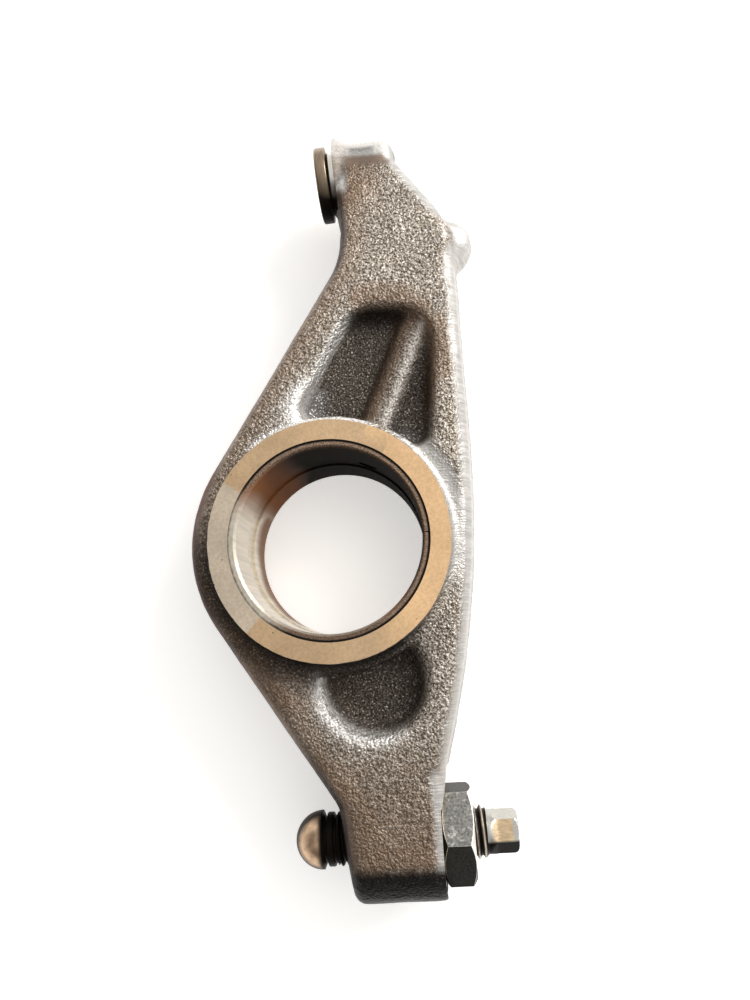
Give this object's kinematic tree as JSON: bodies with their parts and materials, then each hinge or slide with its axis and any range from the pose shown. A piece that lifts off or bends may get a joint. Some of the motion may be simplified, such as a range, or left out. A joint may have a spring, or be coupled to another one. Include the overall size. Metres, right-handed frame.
{
  "type": "rocker arm",
  "caption": "Forged rocker arm with a bushed shaft bore, a pressed-in valve pad, and a ball-ended adjusting screw held by a lock nut.",
  "frame": {"origin": "middle of the shaft bore, on its axis", "axes": "+Z along the shaft bore, +X along the adjusting screw towards its nut, +Y from the bore to the nose over the valves"},
  "size_m": [0.0619, 0.1591, 0.028],
  "materials": {
    "forging": "shot-blasted forging scale, with ground hub faces and a milled nut face",
    "bush": "turned bearing metal on a steel back",
    "pad": "hardened and ground",
    "screw": "hardened, dark thread, polished ball and bright drive end",
    "nut": "black oxide, worn bright on its edges"
  },
  "bodies": {
    "arm": {"rocker_arm": "forging", "shaft_bush": "bush", "valve_pad": "pad"},
    "screw": {"adjusting_screw": "screw"},
    "nut": {"lock_nut": "nut"}
  },
  "joints": [
    {"name": "screw_travel", "type": "slide", "parent": "arm", "child": "screw", "axis": [1, 0, 0], "range_m": [-0.003, 0.0025]},
    {"name": "nut_turn", "type": "hinge", "parent": "arm", "child": "nut", "pos_m": [0.0206, -0.0571, 0], "axis": [1, 0, 0], "range_deg": [0, 180]}
  ]
}
